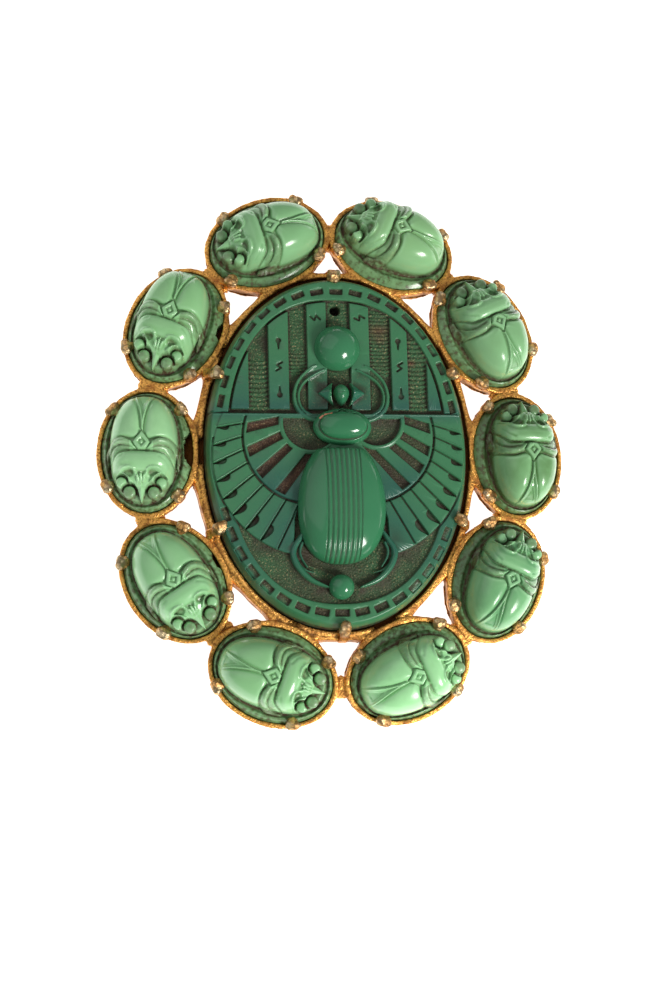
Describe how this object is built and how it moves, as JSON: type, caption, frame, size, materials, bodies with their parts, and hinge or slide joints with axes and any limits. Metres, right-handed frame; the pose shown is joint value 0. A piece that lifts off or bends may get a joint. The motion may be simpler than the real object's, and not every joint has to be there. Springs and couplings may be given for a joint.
{
  "type": "scarab brooch",
  "caption": "Oval scarab brooch: a dark green pressed-glass plaque with a winged beetle in a gilt claw setting, ringed by smaller scarab stones of light green glass.",
  "frame": {"origin": "on the surface that the brooch lies on, under the middle of the centre ring", "axes": "+Z out of the brooch's face, +Y to its top, where the winged beetle's disc is, +X to the right"},
  "size_m": [0.0577, 0.0667, 0.0088],
  "materials": {
    "gilt_metal": "worn cast gilding",
    "dark_green_glass": "opaque pressed glass, glossy on the raised parts",
    "light_green_glass": "opaque moulded glass, glossy, with brown patina",
    "pin_metal": "satin"
  },
  "bodies": {
    "root": {"gilt_frame": "gilt_metal", "winged_scarab_plaque": "dark_green_glass", "scarab_stone_01": "light_green_glass", "scarab_stone_02": "light_green_glass", "scarab_stone_03": "light_green_glass", "scarab_stone_04": "light_green_glass", "scarab_stone_05": "light_green_glass", "scarab_stone_06": "light_green_glass", "scarab_stone_07": "light_green_glass", "scarab_stone_08": "light_green_glass", "scarab_stone_09": "light_green_glass", "scarab_stone_10": "light_green_glass", "brooch_pin": "pin_metal"}
  },
  "joints": []
}
